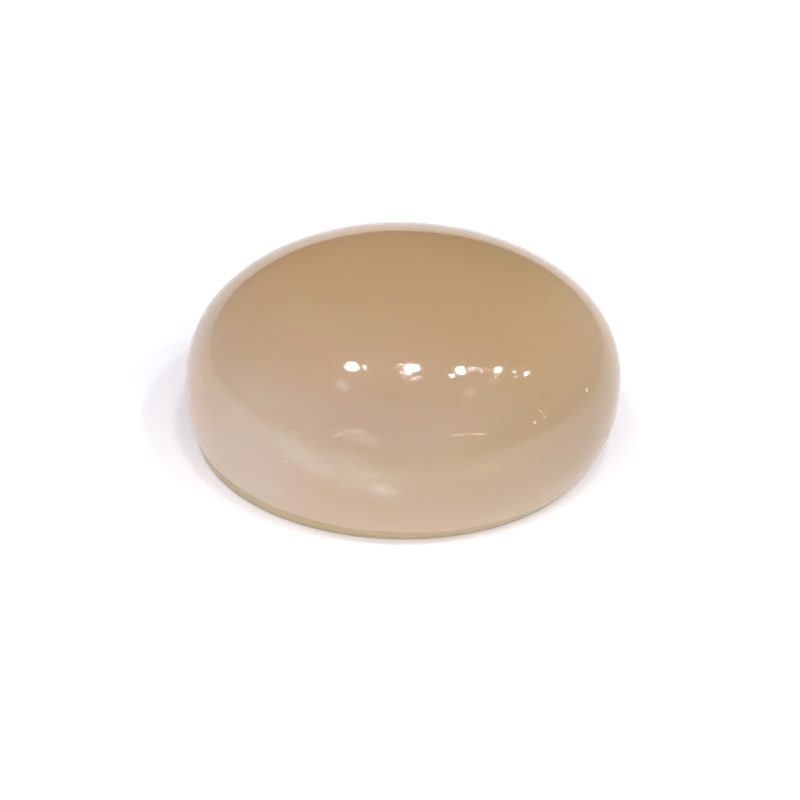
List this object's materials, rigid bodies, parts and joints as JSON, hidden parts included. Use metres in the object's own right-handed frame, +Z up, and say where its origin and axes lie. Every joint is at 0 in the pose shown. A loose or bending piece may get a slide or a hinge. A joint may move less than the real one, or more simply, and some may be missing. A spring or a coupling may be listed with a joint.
{
  "type": "polished moonstone cabochon",
  "caption": "Polished oval moonstone cabochon with a high smooth dome, a drawn-in belly and a narrow ground edge around its flat back.",
  "frame": {"origin": "middle of the flat back, on the surface that the stone rests on", "axes": "+X along the stone's long axis, +Y across it, +Z up through the crown of the dome"},
  "size_m": [0.015, 0.012, 0.0074],
  "materials": {
    "polished_moonstone": "bright polish on translucent cream to golden tan feldspar"
  },
  "bodies": {
    "root": {"moonstone": "polished_moonstone"}
  },
  "joints": []
}
